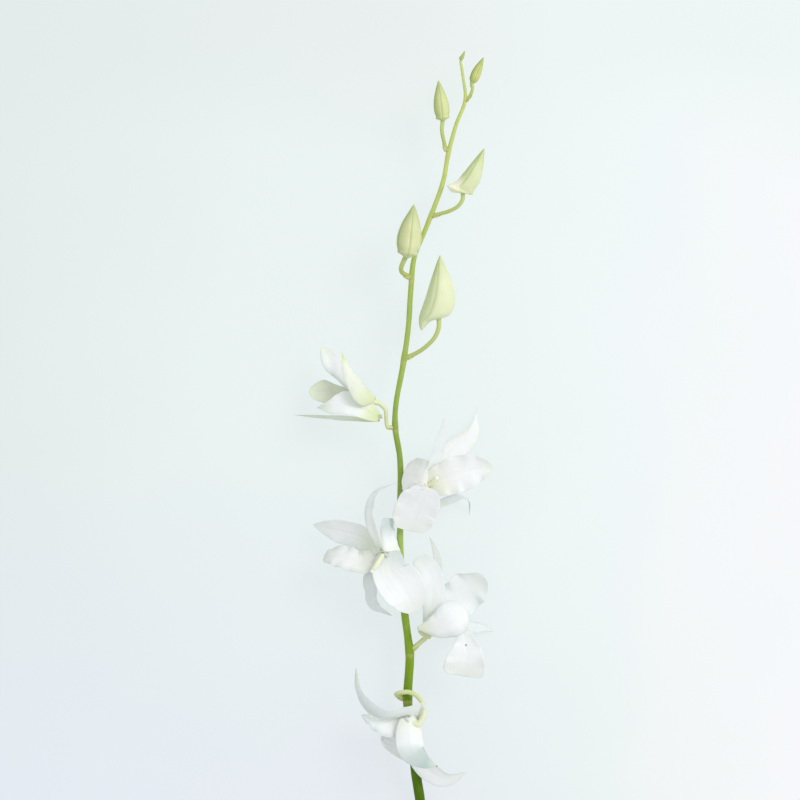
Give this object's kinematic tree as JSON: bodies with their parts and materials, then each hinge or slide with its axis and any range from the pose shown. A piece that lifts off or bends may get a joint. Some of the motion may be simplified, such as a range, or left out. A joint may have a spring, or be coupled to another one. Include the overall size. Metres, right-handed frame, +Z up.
{
  "type": "dendrobium orchid stem",
  "caption": "Cut orchid spray lying down: slender curved green stem, open white flowers on stalks along its lower half, closed green buds towards the tip.",
  "frame": {"origin": "middle of the footprint, on the surface that the stem lies on", "axes": "+Y runs along the stem from its cut end to its tip, +Z points up from the surface, and +X is to the right as seen from above with the tip at the top"},
  "size_m": [0.1023, 0.4505, 0.0384],
  "materials": {
    "stem": "smooth waxy green plant stem",
    "pedicel": "smooth pale green flower stalk",
    "bud": "waxy pale yellow-green bud",
    "sepal": "matt white sepal, greenish at its tip and base",
    "petal": "matt white petal, slightly translucent",
    "lip": "matt white lip with a pale yellow-green throat",
    "column": "waxy pale green column with a white anther cap"
  },
  "bodies": {
    "root": {"stem": "stem", "flower_1_pedicel": "pedicel", "flower_1_dorsal_sepal": "sepal", "flower_1_lateral_sepal_left": "sepal", "flower_1_lateral_sepal_right": "sepal", "flower_1_petal_left": "petal", "flower_1_petal_right": "petal", "flower_1_lip": "lip", "flower_1_column": "column", "flower_2_pedicel": "pedicel", "flower_2_dorsal_sepal": "sepal", "flower_2_lateral_sepal_left": "sepal", "flower_2_lateral_sepal_right": "sepal", "flower_2_petal_left": "petal", "flower_2_petal_right": "petal", "flower_2_lip": "lip", "flower_2_column": "column", "flower_3_pedicel": "pedicel", "flower_3_dorsal_sepal": "sepal", "flower_3_lateral_sepal_left": "sepal", "flower_3_lateral_sepal_right": "sepal", "flower_3_petal_left": "petal", "flower_3_petal_right": "petal", "flower_3_lip": "lip", "flower_3_column": "column", "flower_4_pedicel": "pedicel", "flower_4_dorsal_sepal": "sepal", "flower_4_lateral_sepal_left": "sepal", "flower_4_lateral_sepal_right": "sepal", "flower_4_petal_left": "petal", "flower_4_petal_right": "petal", "flower_4_lip": "lip", "flower_4_column": "column", "flower_5_pedicel": "pedicel", "flower_5_dorsal_sepal": "sepal", "flower_5_lateral_sepal_left": "sepal", "flower_5_lateral_sepal_right": "sepal", "flower_5_petal_left": "petal", "flower_5_petal_right": "petal", "flower_5_lip": "lip", "flower_5_column": "column", "bud_1_pedicel": "pedicel", "bud_1": "bud", "bud_2_pedicel": "pedicel", "bud_2": "bud", "bud_3_pedicel": "pedicel", "bud_3": "bud", "bud_4_pedicel": "pedicel", "bud_4": "bud", "bud_5_pedicel": "pedicel", "bud_5": "bud", "tip_bud": "bud"}
  },
  "joints": []
}
